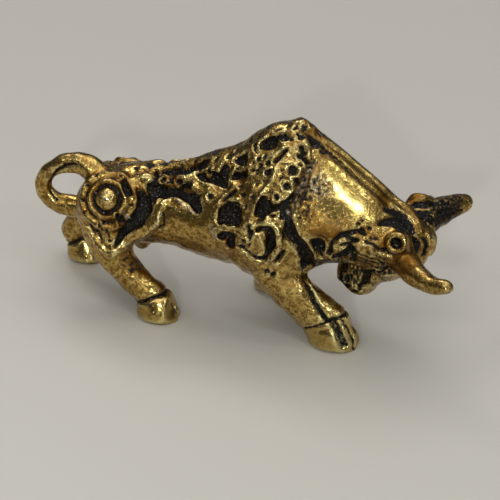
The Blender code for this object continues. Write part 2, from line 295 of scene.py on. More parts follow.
# %% Pockets
POCKET_DEPTH = 0.5
POCKET_WALL = 0.16
LIP_HEIGHT = 0.08
LIP_WIDTH = 0.2
POCKETS = (
    ((-12.1, -23, 0.2), (-11.5, -16, 0.35), (-10.8, -7, 0.55), (-10.0, 5, 0.8), (-9.5, 17, 0.75),
     (-9.5, 30, 0.5), (-10.0, 40, 0.28), (-10.3, 45, 0.15)),
    ((-9.2, 62, 0.28), (-9.1, 50, 0.42), (-8.5, 47, 0.58), (-7.4, 46, 0.62), (-6.3, 46, 0.58),
     (-5.3, 43, 0.58), (-4.6, 38, 0.5), (-4.1, 31, 0.5), (-3.8, 24, 0.45)),
    ((-9.2, 78, 0.25), (-8.7, 72, 0.3), (-8.6, 64, 0.24)),
    ((-8.4, 77, 0.36), (-7.4, 75, 0.54), (-6.4, 74, 0.56), (-5.4, 75, 0.52), (-4.6, 77, 0.44),
     (-3.8, 80, 0.28)),
    ((-8.9, 61, 0.28), (-7.9, 60, 0.34), (-6.8, 58, 0.34), (-5.8, 55, 0.34), (-5.0, 53, 0.26)),
    ((-4.3, 66, 0.25), (-3.4, 63, 0.48), (-2.6, 60, 0.52), (-2.0, 57, 0.5), (-1.4, 53, 0.35)),
    ((-1.6, 68, 0.35), (-1.6, 60, 0.38), (-1.5, 53, 0.3)),
    ((-0.8, 59, 0.32), (0.0, 61, 0.36), (0.8, 59, 0.25)),
    ((-1.2, 33, 0.16), (-0.6, 38, 0.2), (-0.1, 43, 0.16)),
    ((-1.2, 11, 0.38), (-1.0, 22, 0.46), (-0.7, 27, 0.4)),
    ((-0.3, 13, 0.58), (-0.1, 23, 0.55), (0.2, 29, 0.36)),
    ((0.5, 11, 0.36), (0.6, 21, 0.3)),
    ((-1.2, -9, 0.25), (-0.6, -8, 0.4), (0.0, -9, 0.4), (-0.1, -15, 0.38), (-0.3, -19, 0.2)),
    ((0.8, -15, 0.16), (1.3, -14, 0.24), (1.5, -17, 0.16)),
    ((1.7, -17, 0.1), (2.2, -22, 0.14), (2.9, -25, 0.16), (3.6, -23, 0.16)),
    ((1.9, 8, 0.18), (2.1, 2, 0.28), (2.0, -4, 0.18)),
    ((2.0, 77, 0.25), (2.6, 78, 0.42), (3.1, 77, 0.4)),
    ((-0.5, 73, 0.3), (0.2, 73, 0.4)),
    ((3.2, 33, 0.22), (3.0, 27, 0.48), (3.0, 20, 0.48), (3.2, 16, 0.3)),
    ((3.5, 29, 0.28), (3.7, 21, 0.34)),
    ((4.0, 24, 0.28), (4.9, 24, 0.28), (5.4, 24, 0.28)),
    ((5.1, 22, 0.2), (5.2, 14, 0.26)), ((4.0, 17, 0.1), (4.4, 17, 0.14), (4.7, 18, 0.1)),
    ((6.0, 68, 0.18), (6.5, 67, 0.22), (7.0, 65, 0.2)),
    ((6.1, 74, 0.2), (6.4, 71, 0.26)),
    ((6.0, 51, 0.2), (6.3, 48, 0.24)),
    ((5.2, 29, 0.3), (5.7, 32, 0.22), (6.0, 38, 0.16)),
    ((3.7, 63, 0.2), (4.2, 67, 0.28), (4.7, 70, 0.2)),
    ((3.6, 79, 0.22), (4.1, 79, 0.32), (4.5, 78, 0.2)),
    ((-9.3, 52, 0.3), (-8.9, 44, 0.42), (-8.7, 36, 0.34), (-8.6, 27, 0.2)),
    ((5.3, 22, 0.26), (5.6, 15, 0.42), (5.9, 7, 0.56), (6.25, -3, 0.66), (6.95, -12, 0.72),
     (7.45, -24, 0.76), (7.5, -37, 0.6), (7.4, -47, 0.35)),
    ((10.4, -25, 0.4), (11.0, -18, 0.5), (11.6, -10, 0.42), (12.0, -3, 0.2)),
    ((-12.0, 57, 0.2), (-11.5, 47, 0.28), (-11.1, 38, 0.24)),
    ((-11.9, 14, 0.14), (-11.7, 6, 0.3), (-11.5, -1, 0.2)),
    ((8.2, -5, 0.28), (8.7, -9, 0.4), (8.8, -17, 0.42), (8.8, -24, 0.32)),
    ((4.8, -28, 0.22), (5.3, -22, 0.28)),
)
pockets = strokes(POCKETS)
floor_of_pocket = filled(pockets, POCKET_WALL)
rise -= POCKET_DEPTH * floor_of_pocket
rise += LIP_HEIGHT * band(pockets + LIP_WIDTH, LIP_WIDTH)
recess = np.maximum(recess, floor_of_pocket)
print("in pockets:", round(100 * float(floor_of_pocket.mean()), 1), "% of the skin")

# %% [markdown]
# ## Rings and drilled-looking holes
# Strings of small rings and single holes sit between the pockets. Each is a dent with a raised
# collar, so one formula serves for all of them: a band at the collar's radius goes up, and the
# middle goes down.

# %% Rings and holes
RING_WIDTH = 0.2
RINGS = ((-8.1, 62, 0.3), (-6.35, 58, 0.33), (-3.3, 70, 0.28), (-2.6, 38, 0.28),
         (-0.7, 83, 0.26), (3.2, 55, 0.32), (5.3, 43, 0.36), (4.4, 34, 0.32), (5.6, 56, 0.5),
         (-10.7, 23, 0.14), (1.4, 26, 0.22))
HOLES = ((-2.8, 79, 0.22), (-1.5, 79, 0.25), (0.6, 84, 0.28), (2.0, 67, 0.24), (2.6, 67, 0.2),
         (2.3, 61, 0.26), (3.0, 62, 0.22), (1.5, 59, 0.22), (2.0, 57, 0.2), (1.3, 65, 0.16),
         (0.5, 48, 0.26), (0.9, 38, 0.28), (2.0, 36, 0.22), (-3.8, 41, 0.16), (4.2, 79, 0.24),
         (5.0, 77, 0.2), (0.7, 68, 0.2), (-0.3, 66, 0.18), (3.9, -35, 0.24), (4.4, -37, 0.22),
         (1.3, -7, 0.22), (-14.7, -3, 0.18), (-14.1, -9, 0.16), (-13.2, -9, 0.14),
         (-13.4, 2, 0.15), (-12.8, -19, 0.14), (-5.2, 86, 0.2), (-6.6, 84, 0.2), (2.2, 47, 0.16),
         (6.3, 62, 0.18), (1.2, 51, 0.18))
HOLE_DEPTH = 0.32
HOLE_WALL = 0.18
RING_HEIGHT = 0.14
ring_field = dots(RINGS)
hole_field = dots(HOLES)
ring_wall = band(ring_field + RING_WIDTH / 2, RING_WIDTH)
rise += (RING_HEIGHT + POCKET_DEPTH * floor_of_pocket) * ring_wall
recess *= 1 - ring_wall
sunk = filled(np.maximum(ring_field, hole_field), HOLE_WALL)
rise -= HOLE_DEPTH * sunk * (1 - floor_of_pocket)
recess = np.maximum(recess, sunk)
print("rings:", len(RINGS), "holes:", len(HOLES))

# %% [markdown]
# ## Ridges of the scroll and the shoulder groove
# A raised scroll curls round a black crescent on the shoulder, a shallow groove parts the shoulder
# from the neck, and thin gold ridges run between the pits. They are strokes again, with walls as
# wide as the stroke itself, so that they come out rounded like a bead of wire instead of flat like
# a pocket floor. The grey sheen in the shoulder groove is painted further on, as a reflection.

# %% Ridges and grooves
RIDGES = (
    ((2.2, 4, 0.22), (2.3, 7, 0.26), (2.7, 10, 0.3), (3.3, 11.5, 0.33), (3.9, 11, 0.35),
     (4.4, 8.5, 0.36), (4.8, 4, 0.37), (5.05, -2, 0.38), (5.1, -9, 0.38), (4.95, -15, 0.37),
     (4.6, -21, 0.35), (4.1, -26, 0.31)),
    ((2.9, -3, 0.2), (3.2, -8, 0.3), (3.4, -15, 0.3), (3.5, -20, 0.2)),
    ((4.0, 59, 0.24), (4.0, 54, 0.3), (3.7, 49, 0.32), (3.2, 41, 0.28), (2.8, 34, 0.24),
     (2.4, 27, 0.26), (2.1, 19, 0.22), (1.9, 13, 0.15)),
    ((5.4, 74, 0.15), (5.6, 67, 0.2), (5.9, 63, 0.2), (6.3, 63, 0.14)),
    ((4.4, 72, 0.15), (4.1, 68, 0.2), (3.5, 66, 0.2), (2.9, 64, 0.12)),
    ((4.8, 61, 0.16), (5.6, 63, 0.2), (6.3, 60, 0.2), (6.4, 54, 0.2), (5.9, 49, 0.2)),
    ((5.2, 56, 0.12), (5.6, 49, 0.14), (5.9, 43, 0.18), (5.4, 36, 0.18), (4.9, 30, 0.18),
     (4.2, 29, 0.18), (3.5, 33, 0.16)),
    ((3.6, 15, 0.1), (3.8, 19, 0.12), (4.6, 20, 0.12), (4.7, 16, 0.08), (4.2, 13, 0.12)),
    ((7.4, -1, 0.14), (7.9, -10, 0.18), (8.3, -20, 0.2), (8.9, -29, 0.2)),
    ((-4.3, 58, 0.2), (-3.4, 54, 0.25), (-2.2, 51, 0.25), (-1.4, 47, 0.22), (-0.9, 45, 0.18)),
    ((-2.3, -3, 0.22), (-1.7, 3, 0.25), (-0.5, 1, 0.24), (0.8, 0, 0.2), (1.3, -4, 0.2)),
    ((-1.9, 30, 0.22), (-0.9, 33, 0.22), (0.3, 35, 0.22), (1.0, 30, 0.2)),
    ((-0.1, 67, 0.16), (0.9, 66, 0.18), (1.5, 60, 0.18), (1.4, 50, 0.2)),
    ((-8.9, 68, 0.04), (-7.2, 67, 0.05), (-5.8, 66, 0.05), (-4.9, 66, 0.04)),
    ((-8.9, 53, 0.08), (-7.4, 52, 0.1), (-6.0, 48, 0.1), (-4.9, 45, 0.08)),
    ((10.0, -11, 0.1), (10.3, -5, 0.13), (11.0, 2, 0.14), (12.0, 8, 0.12)),
)
RIDGE_HEIGHT = 0.26
GROOVES = (
    ((2.8, 3, 0.24), (3.2, 5, 0.3), (3.6, 4.5, 0.36), (3.95, 1.5, 0.41), (4.2, -3, 0.45),
     (4.25, -9, 0.44), (4.1, -15, 0.4), (3.8, -20, 0.3)),
    ((9.7, -20, 0.3), (9.9, -8, 0.26), (10.5, 4, 0.24), (11.4, 13, 0.24), (12.3, 20, 0.2),
     (13.0, 19, 0.14)),
    ((10.9, -4, 0.16), (11.7, 3, 0.2), (12.4, 8, 0.14)),
    ((-7.9, -8, 0.12), (-7.3, -4, 0.16), (-7.2, 6, 0.14), (-7.4, 14, 0.1)),
)
GROOVE_DEPTH = 0.38
SHINY_GROOVE = ((7.4, 68, 0.22), (6.9, 57, 0.34), (6.8, 48, 0.4), (6.4, 38, 0.4), (6.0, 29, 0.4),
                (5.7, 19, 0.35))
SHINY_DEPTH = 0.2
SHINY_BLACK = 0.4
# Each wall: its width, and where on it the stroke's edge lies.
RIDGE_WALL = (0.36, 0.1)
RIDGE_CLEAN = (0.15, 0.6)
GROOVE_WALL = (0.3, 0.35)
GROOVE_BLACK = (0.2, 0.4)
SHINY_WALL = (0.4, 0.4)
SHINY_BORDER = (0.3, 0.4)
ridges = strokes(RIDGES)
grooves = strokes(GROOVES)
rise += RIDGE_HEIGHT * filled(ridges, *RIDGE_WALL)
rise -= GROOVE_DEPTH * filled(grooves, *GROOVE_WALL)
recess = np.maximum(recess, filled(grooves, *GROOVE_BLACK))
shiny = stroke(SHINY_GROOVE)
rise -= SHINY_DEPTH * filled(shiny, *SHINY_WALL)
recess = np.maximum(recess, SHINY_BLACK * filled(shiny, *SHINY_BORDER))
recess *= 1 - filled(ridges, *RIDGE_CLEAN)
print("ridges:", len(RIDGES), "grooves:", len(GROOVES))

# %% [markdown]
# ## The haunch
# A domed boss sits on each haunch inside two raised rings, with short black arcs between the rings.
# A band sweeps from the outer ring down the thigh and back up to the belly, and a bud on a stem
# stands beside it. Circles round one centre need only the distance from it, so each ring is a band
# at its own radius. The bud is laid over what is carved already, as a dome: its height goes with
# the square root of how deep a point lies in the stroke.

# %% Haunch
HAUNCH_BOSS = (-13.2, 4.48, 12.93)
BOSS_RADIUS = 1.25
BOSS_HEIGHT = 0.3
HAUNCH_EDGE = (3.6, 4.2)
RING_WANDER = 0.5
HAUNCH_RINGS = ((1.4, 0.34, -0.2), (1.9, 0.4, 0.1), (2.45, 0.45, -0.06), (3.1, 0.5, 0.1))
RING_BLACKS = ((1.4, 0.4, 0.5), (2.4, 0.5, 0.26))
ARCS = ((-14.5, 74, 0.18), (-13.5, 71, 0.24), (-12.8, 69, 0.18), (-14.9, 60, 0.16),
        (-15.6, 47, 0.2), (-15.9, 27, 0.18), (-15.6, 10, 0.18), (-12.4, 62, 0.16))
THIGH_BAND = ((-15.6, -4, 0.2), (-14.8, -16, 0.3), (-13.9, -24, 0.36), (-13.0, -29, 0.4),
              (-12.2, -29, 0.42), (-11.3, -28, 0.42), (-10.5, -28, 0.42), (-9.5, -23, 0.42),
              (-8.5, -10, 0.42), (-7.9, 0, 0.38), (-7.8, 14, 0.34), (-7.6, 27, 0.3),
              (-6.8, 33, 0.24), (-5.7, 30, 0.2))
BUD = ((-10.8, 61, 0.62), (-10.0, 64, 0.72), (-9.6, 64, 0.6))
BUD_STEM = ((-10.2, 62, 0.5), (-10.2, 50, 0.3), (-10.2, 40, 0.16))
BUD_HEIGHT = 0.42
BUD_RADIUS = 0.72
LEAF_BEADS = ((-11.2, 15, 0.28), (-11.0, 7, 0.3), (-11.1, 25, 0.24), (-11.3, -8, 0.26),
              (-10.8, 31, 0.2))
SLASHES = (((-15.0, -5, 0.1), (-14.4, -12, 0.12)), ((-13.9, 1, 0.1), (-13.5, -6, 0.12)),
           ((-14.2, -8, 0.1), (-13.6, -17, 0.12)), ((-13.0, -5, 0.08), (-12.8, -15, 0.12)))
ARC_DEPTH = 0.25
THIGH_HEIGHT = 0.2
STEM_HEIGHT = 0.35
RING_START = 1.2
ARC_WALL = 0.15
THIGH_WALL = (0.3, 0.2)
STEM_WALL = (0.45, 0)
BUD_WALL = (0.16, 0.7)
HAUNCH_CLEAN = (0.15, 0.4)
haunch_away = np.linalg.norm(mirrored - HAUNCH_BOSS, axis=1)
on_haunch = ball(HAUNCH_BOSS, *HAUNCH_EDGE)
rise += BOSS_HEIGHT * eased((BOSS_RADIUS - haunch_away) / BOSS_RADIUS)
haunch_away = haunch_away + RING_WANDER * hand_wobble(RING_START)
for radius, half_width, height in HAUNCH_RINGS:
    rise += height * band(haunch_away - radius, half_width)
for radius, half_width, share in RING_BLACKS:
    recess = np.maximum(recess, share * band(haunch_away - radius, half_width))
arcs = filled(np.maximum(dots(ARCS), strokes(SLASHES)), ARC_WALL)
rise -= ARC_DEPTH * arcs
recess = np.maximum(recess, arcs)
thigh_band = stroke(THIGH_BAND)
rise += THIGH_HEIGHT * filled(thigh_band, *THIGH_WALL)
stem = np.maximum(stroke(BUD_STEM), dots(LEAF_BEADS))
rise += STEM_HEIGHT * filled(stem, *STEM_WALL)
bud = stroke(BUD)
on_bud = filled(bud, *BUD_WALL)
rise += on_bud * (BUD_HEIGHT * np.sqrt(np.clip(bud / BUD_RADIUS, 0, 1)) - rise)
recess *= 1 - filled(np.maximum.reduce([thigh_band, stem, bud]), *HAUNCH_CLEAN)
print("haunch rings:", len(HAUNCH_RINGS))

# %% [markdown]
# ## A web of small cells
# On the back, the shoulder and the muzzle the scrolls shrink to a net of tiny gold walls round dark
# cells, too many to place one by one. Cell noise makes such a net: the space is cut into cubes with
# one seed point in each, and the wall runs where the two nearest seeds are equally far away. The
# net keeps clear of the pockets, ridges and rings that are listed above.

# %% Cell noise
HASH_STEPS = (73, 157, 311)
HASH_TURN = 12.9898
HASH_SPREAD = 43758.5453


def hashed(cells, salt):
    """A repeatable number from 0 to 1 for each row of whole numbers: the part after the point of
    a very large sine."""
    mixed = (cells * HASH_STEPS).sum(axis=1) + salt
    return np.modf(np.abs(np.sin(mixed * HASH_TURN) * HASH_SPREAD))[0]


def cell_walls(places, size):
    """How far each place is from the nearest wall between cells, as a share of the cell size:
    the second nearest seed's distance less the nearest one's."""
    scaled = places / size
    home = np.floor(scaled)
    nearest = np.full(len(places), -OUTSIDE)
    second = nearest
    for step in np.ndindex(3, 3, 3):
        cell = home + np.array(step) - 1
        seed = cell + np.column_stack([hashed(cell, 1), hashed(cell, 2), hashed(cell, 3)])
        away = np.linalg.norm(scaled - seed, axis=1)
        second = np.minimum(second, np.maximum(nearest, away))
        nearest = np.minimum(nearest, away)
    return second - nearest


# %% Cell web
CELL_SIZE = 1.2
SMALL_CELL = 0.66
WEB_DEPTH = 0.24
WEB_BLACK = 1.6
CELL_WALL = (0.13, 0.29)
CLEARANCE = (0.25, 0.5)
RING_CLEARANCE = 0.1
WEB_START = 0.9
BACK = (0.6, (-12, -11, 8, 9), (74, 80))
SHOULDER = (1.0, (0.2, 1.2, 6, 7), (42, 50))
LOW_SHOULDER = (0.7, (0.8, 1.8, 4.2, 5.2), (-30, -22, 0, 30))
MUZZLE = ((11.0, 1.6, 6.6), 2.1, 2.6)
MUZZLE_FRONT = (-12.5, -12.1)
CHEEK = ((14.9, 3.4, 8.8), 1.1, 1.6)
busy = strokes(POCKETS + RIDGES + GROOVES)
busy = np.maximum(busy, dots(RINGS + HOLES) + RING_CLEARANCE)
web_place = np.maximum.reduce([share * patch(ahead, up)
                               for share, ahead, up in (BACK, SHOULDER, LOW_SHOULDER)])
web_place *= window(-busy, *CLEARANCE)
small_place = np.maximum(ball(*MUZZLE) * window(-forward, *MUZZLE_FRONT), ball(*CHEEK))
for place, size in ((web_place, CELL_SIZE), (small_place, SMALL_CELL)):
    walls = cell_walls(mirrored + hand_wobble(WEB_START)[:, None], size)
    cells = window(walls, *CELL_WALL)
    rise -= WEB_DEPTH * place * cells
    recess = np.maximum(recess, eased(WEB_BLACK * place) * cells)
print("web covers:", round(100 * float((web_place > 0.5).mean()), 1), "% of the skin")

# %% [markdown]
# ## Ears, face and crest
# The head is cast with cup-shaped ears, small pits, folds on the cheek and a rounded rim along the
# crest of the neck, with a shallow black line beside it. Each is a dent or a bead at a place that
# is told directly in millimetres. The cuts at the roots of the far ear and horn are told on that
# side alone, because the head is turned a little. The groove inside the curl of the tail is cut
# here too, in the same way.

# %% Places on the head
EAR_CUPS = ((16.15, -5.0, 12.85, 0.46, 0.84), (16.5, 4.7, 12.7, 0.46, 0.9))
EAR_AXIS = (0.2, 0.85, 0.45)
FACE_CUTS = (
    ((11.8, 5.0, 12.0, 0.3), (12.1, 4.8, 11.1, 0.36), (11.8, 4.0, 9.7, 0.32)),
    ((12.1, 2.0, 5.6, 0.22), (12.7, 2.1, 6.4, 0.4), (12.8, 2.5, 7.5, 0.55), (13.8, 3.4, 8.5, 0.42),
     (14.7, 3.1, 8.5, 0.24)),
    ((14.0, 4.4, 11.7, 0.12), (14.8, 4.3, 11.6, 0.26), (15.6, 4.1, 11.5, 0.3),
     (16.3, 4.0, 11.5, 0.2)),
    ((14.4, 1.5, 14.6, 0.26), (15.4, 1.2, 14.2, 0.42), (16.1, 1.1, 13.8, 0.46),
     (16.9, 1.2, 13.2, 0.4)),
    ((14.3, 2.9, 13.8, 0.26), (15.3, 2.1, 13.8, 0.5), (16.3, 1.8, 13.3, 0.62),
     (17.2, 1.6, 12.7, 0.46)),
    ((14.9, 3.3, 8.9, 0.24), (15.6, 2.9, 8.4, 0.32), (16.3, 2.4, 8.2, 0.22)),
    ((17.5, 1.9, 12.1, 0.3), (17.7, 1.7, 11.3, 0.34), (17.8, 2.0, 10.4, 0.24)),
    ((18.2, 1.1, 11.8, 0.16), (18.5, 1.2, 11.1, 0.2), (18.3, 1.2, 9.8, 0.2)),
    ((12.3, 3.9, 14.0, 0.16),), ((12.6, 3.6, 14.2, 0.12),), ((12.7, 4.1, 13.5, 0.22),),
    ((13.3, 3.6, 13.5, 0.18),), ((15.2, 3.6, 9.3, 0.24),), ((14.7, 2.8, 8.1, 0.26),),
    ((11.5, 4.9, 12.9, 0.18), (12.2, 4.7, 12.6, 0.2)),
)
FAR_CUTS = (
    ((16.2, 2.7, 12.7, 0.3), (17.2, 3.0, 12.8, 0.42), (18.0, 3.9, 12.6, 0.34)),
    ((16.6, 1.8, 12.8, 0.32), (17.7, 1.9, 12.2, 0.46), (18.4, 2.1, 11.4, 0.3)),
    ((18.1, 3.8, 12.6, 0.26), (18.8, 4.5, 12.4, 0.2), (19.5, 5.2, 12.0, 0.1)),
    ((18.6, 3.2, 12.0, 0.22), (19.5, 4.5, 11.8, 0.18), (20.2, 5.6, 11.4, 0.12)),
    ((18.7, 2.8, 11.4, 0.28), (19.4, 4.0, 11.3, 0.26), (20.1, 5.4, 11.0, 0.2),
     (20.6, 6.2, 10.8, 0.1)),
)
TAIL_CUTS = (
    ((-17.5, -1.5, 14.4, 0.1), (-18.6, -1.4, 14.1, 0.16), (-19.6, -1.3, 13.1, 0.18),
     (-20.5, -0.7, 11.5, 0.18), (-20.5, -0.9, 10.4, 0.18), (-19.9, -1.2, 9.7, 0.14)),
)
CUT_DEPTH = 0.34
EAR_RIM_HEIGHT = 0.16
EAR_DEPTH = 0.45
EAR_FLOOR = 0.6
EAR_WALL = (-0.1, 0.2)
EAR_BLACK = (-0.12, 0.13)
CUT_WALL = (0.25, 0.5)
CUT_BLACK = (0.2, 0.55)
FACE_BEADS = (((12.4, 4.6, 12.3), (13.4, 4.5, 11.9), (14.3, 4.3, 11.4), (15.5, 4.0, 10.9)),
              ((12.2, 3.6, 9.2), (12.1, 2.2, 7.6), (12.2, 2.2, 6.9), (12.1, 2.2, 6.1)),
              ((12.9, 1.9, 5.5), (13.3, 1.8, 5.9)),
              ((18.5, 0.7, 11.9), (19.0, 0.5, 11.2), (19.1, 0.3, 10.3), (18.7, 0.5, 9.7)))
CREST = ((5.3, -0.4, 22.0), (6.6, -0.6, 21.4), (7.8, -0.4, 20.4), (9.3, -0.1, 19.3),
         (10.7, 0.0, 18.1), (12.2, 0.0, 16.9), (13.8, -0.1, 15.7), (15.5, 0.0, 14.3),
         (16.4, -0.2, 13.7), (17.4, -0.8, 12.9), (17.8, -1.3, 12.2))
LOBES = (((13.6, 4.4, 10.4), 1.6), ((13.9, 4.4, 12.3), 1.0))
BEAD_RADIUS = 0.32
BEAD_HEIGHT = 0.22
LOBE_SQUASH = (0.8, 1, 1.2)
LOBE_BORDER = 0.4
LOBE_BLACK = 0.34
STRIPE = 0.5
STRIPE_ARROW = (0.42, 0.0, 0.91)
STRIPE_HEIGHT = 0.06
STRIPE_BLACK = 0.4
STRIPE_START = 3.0
CREST_HEIGHT = 0.3
CREST_WIDTH = 0.5
BESIDE_CREST = (0, -0.95, 0.4)
BESIDE_DEPTH = 0.18
BESIDE_BLACK = 0.5
MIDDLE_BLACK = 0.45
MIDDLE_OF_CREST = (6, 7, 12.5, 13.5)
print("crest, mm:", round(math.dist(CREST[0], CREST[-1]), 1))


# %% Carve the head
def from_line(places, start, stop):
    """Each place's distance from one straight line, and how far along it that is, from 0 to 1."""
    start = np.array(start)
    run = np.array(stop) - start
    share = np.clip((places - start) @ run / (run @ run + TINY), 0, 1)
    return np.linalg.norm(places - start - share[:, None] * run, axis=1), share


def along(places, stops):
    """Each place's distance from a line through several stops."""
    several = [from_line(places, *pair)[0] for pair in zip(stops, stops[1:])]
    return np.minimum.reduce(several)


def cut_into(rise, recess, places, cuts):
    """Sinks every cut (x, y, z, brush radius) into the skin and marks it black. As in a stroke,
    the depth is the brush radius less the distance from the line."""
    for cut in cuts:
        depth = np.full(len(places), OUTSIDE)
        for start, stop in zip(cut, cut[1:] + cut[-1:]):
            away, share = from_line(places, start[:3], stop[:3])
            depth = np.maximum(depth, start[3] + share * (stop[3] - start[3]) - away)
        rise = rise - CUT_DEPTH * filled(depth, *CUT_WALL)
        recess = np.maximum(recess, filled(depth, *CUT_BLACK))
    return rise, recess


for x, y, z, hole, rim in EAR_CUPS:
    lean = np.array(EAR_AXIS) * (1, np.sign(y), 1)
    away = from_line(points, np.array((x, y, z)) - lean, np.array((x, y, z)) + EAR_FLOOR * lean)[0]
    rise += EAR_RIM_HEIGHT * band(away - rim, rim - hole)
    rise -= EAR_DEPTH * window(hole - away, *EAR_WALL)
    recess = np.maximum(recess, window(hole - away, *EAR_BLACK))
rise, recess = cut_into(rise, recess, mirrored, FACE_CUTS)
rise, recess = cut_into(rise, recess, points, FAR_CUTS + TAIL_CUTS)
for bead in FACE_BEADS:
    on_bead = band(along(mirrored, bead), BEAD_RADIUS)
    rise += BEAD_HEIGHT * on_bead
    recess *= 1 - on_bead
lobe = np.zeros(len(points))
for centre, reach in LOBES:
    away = np.linalg.norm((mirrored - centre) * LOBE_SQUASH, axis=1)
    lobe = np.maximum(lobe, eased((reach - away) / LOBE_BORDER))
stripes = np.sin((mirrored @ STRIPE_ARROW + hand_wobble(STRIPE_START)) * 2 * math.pi / STRIPE)
rise += STRIPE_HEIGHT * lobe * stripes
recess = np.maximum(recess, lobe * (LOBE_BLACK + STRIPE_BLACK * eased(-stripes)))
crest_away = along(points, CREST)
rise += CREST_HEIGHT * band(crest_away, CREST_WIDTH)
beside_crest = along(mirrored + BESIDE_CREST, np.array(CREST) * (1, 0, 1))
rise -= BESIDE_DEPTH * band(beside_crest, 1.1 * CREST_WIDTH)
black_line = BESIDE_BLACK + MIDDLE_BLACK * window(forward, *MIDDLE_OF_CREST)
recess = np.maximum(recess, black_line * band(beside_crest, CREST_WIDTH))
recess *= 1 - band(crest_away, CREST_WIDTH)
print("ears:", len(EAR_CUPS), "face cuts:", 2 * len(FACE_CUTS), "beads:", 2 * len(FACE_BEADS))

# %% [markdown]
# ## Hooves
# Each hoof is polished smooth, is parted from the leg by one fine cut line and is cleft in front.
# The line is a band in height that climbs forward, more steeply behind the hoof's middle than
# before it. Below the line the hoof flares out at the heel and the sides, and its upper front is a
# little hollow. Two more cuts run down the near fore hoof, and a groove runs down the leg above it.

# %% Hooves
HOOVES = ((-8.0, -4.7, 2.9, -4.7), (-18.8, 4.1, 2.8, 4.1), (10.4, -4.7, 3.65, -5.45),
          (1.5, 3.9, 2.9, 3.9))
HOOF_REACH = 3.3
HEEL_LEAN = 0.58
TOE_LEAN = 0.16
HOOF_FLARE = 0.36
HOOF_HOLLOW = 0.42
LINE_DEPTH = 0.34
CLEFT_DEPTH = 0.35
LEG_CUT_DEPTH = 0.4
HOOF_BORDER = 0.3
LINE_WIDTH = 0.3
CLEFT_WIDTH = 0.28
CLEFT_START = 0.5
FLARE_DROP = 2.6
FLARE_END = (1.0, 2.0)
HOLLOW_DROP = 1.5
HOLLOW_WIDTH = 1.6
HOLLOW_START = (0.9, 1.7)
POLISH_DROP = 0.4
LEG_CUT_WIDTH = 0.4
LEG_CUT_BLACK = (-0.34, -0.14)
HOOF_CUTS = (
    ((10.2, -6.0, 3.5), (10.9, -6.2, 2.3), (11.5, -6.2, 1.0)),
    ((10.5, -5.9, 3.5), (11.2, -6.0, 2.3), (11.8, -6.0, 1.0)),
)
LEG_GROOVES = (
    ((7.0, -5.4, 9.4), (7.1, -4.7, 8.1), (7.8, -5.2, 6.5), (8.5, -5.9, 5.3), (9.2, -6.1, 4.4),
     (9.8, -6.1, 3.6)),
)
smooth_metal = np.zeros(len(points))
for x, y, line_height, cleft_y in HOOVES:
    ahead = forward - x
    near = eased((HOOF_REACH - np.hypot(ahead, points[:, 1] - y)) / HOOF_BORDER)
    up = points[:, 2] - line_height - np.where(ahead < 0, HEEL_LEAN, TOE_LEAN) * ahead
    line = near * band(up, LINE_WIDTH)
    cleft = near * band(points[:, 1] - cleft_y, CLEFT_WIDTH)
    cleft *= eased(ahead) * eased(-up / CLEFT_START)
    rise += HOOF_FLARE * near * eased(-up / FLARE_DROP) * (1 - window(ahead, *FLARE_END))
    hollow = near * band(up + HOLLOW_DROP, HOLLOW_WIDTH) * window(ahead, *HOLLOW_START)
    rise -= HOOF_HOLLOW * hollow
    rise -= LINE_DEPTH * line + CLEFT_DEPTH * cleft
    recess = np.maximum(recess, np.maximum(line, cleft))
    smooth_metal = np.maximum(smooth_metal, near * eased(-up / POLISH_DROP))
for cut in HOOF_CUTS + LEG_GROOVES:
    away = along(points, cut)
    rise -= LEG_CUT_DEPTH * band(away, LEG_CUT_WIDTH)
    recess = np.maximum(recess, window(-away, *LEG_CUT_BLACK))
print("hooves:", len(HOOVES))

# %% [markdown]
# ## Cast skin between the carvings
# Nothing on a small casting is quite flat. Slow waves between 1 and 2 mm long keep the legs and the
# belly from looking turned on a lathe. They are a sum of sines in a few slanting directions, which
# needs no table of random numbers. Then all the heights are settled: the back and the far shoulder
# are carved shallower, so that the outline stays calm there, the hump gets its small peak, and
# nothing moves on the flat soles.

# %% Slow waves
WAVES = ((2.9, 1.7, 0.6), (-1.3, 2.6, 1.9), (0.8, -1.9, 3.1), (3.7, 0.9, -2.2), (-2.1, -3.3, 1.2))
WAVE_HEIGHT = 0.045
WAVE_STEP = 1.7
NECK = ((7.2, 8), (5, 15))
NECK_CALM = 0.8
TOP = ((-14, -13, 4.5, 5.5), (76, 85))
FAR_TOP = ((-0.2, 0.6), (45, 57), (-5, -4))
TOP_CALM = 0.6
PEAK_HEIGHT = 0.32
PEAK_FORWARD = 5.4
PEAK_HALF_WIDTH = 1.7
PEAK_UP = (68, 84)
STILL_SOLE = 0.05
LAST_SMOOTHING = 0.15
wave = np.zeros(len(points))
for number, arrow in enumerate(WAVES):
    wave += np.sin(points @ np.array(arrow) + WAVE_STEP * number)
wave *= (1 - smooth_metal) * (1 - NECK_CALM * patch(*NECK))
rise += WAVE_HEIGHT * wave / math.sqrt(len(WAVES))
far_top = window(points[:, 1], *FAR_TOP[0]) * window(angle, *FAR_TOP[1])
far_top *= window(-forward, *FAR_TOP[2])
rise *= (1 - TOP_CALM * patch(*TOP)) * (1 - TOP_CALM * far_top)
rise += PEAK_HEIGHT * band(forward - PEAK_FORWARD, PEAK_HALF_WIDTH) * window(angle, *PEAK_UP)
rise *= eased((points[:, 2] - STILL_SOLE) / SOLE_HEIGHT)
carved = points + outward * rise[:, None]
carved = carved + LAST_SMOOTHING * (neighbours_mean(carved) - carved) * above_sole
move_to(carved)
print("carved by, mm:", round(float(rise.min()), 2), "to", round(float(rise.max()), 2))

# %% [markdown]
# ## Where polish and black patina lie
# A brass casting like this is dipped black and then rubbed. The black stays in what a cloth can't
# reach, and the proud edges come up bright. Comparing each point with a smoothed copy of the skin
# tells the two apart: a point under the smooth copy is in a hollow, one above it is on an edge.

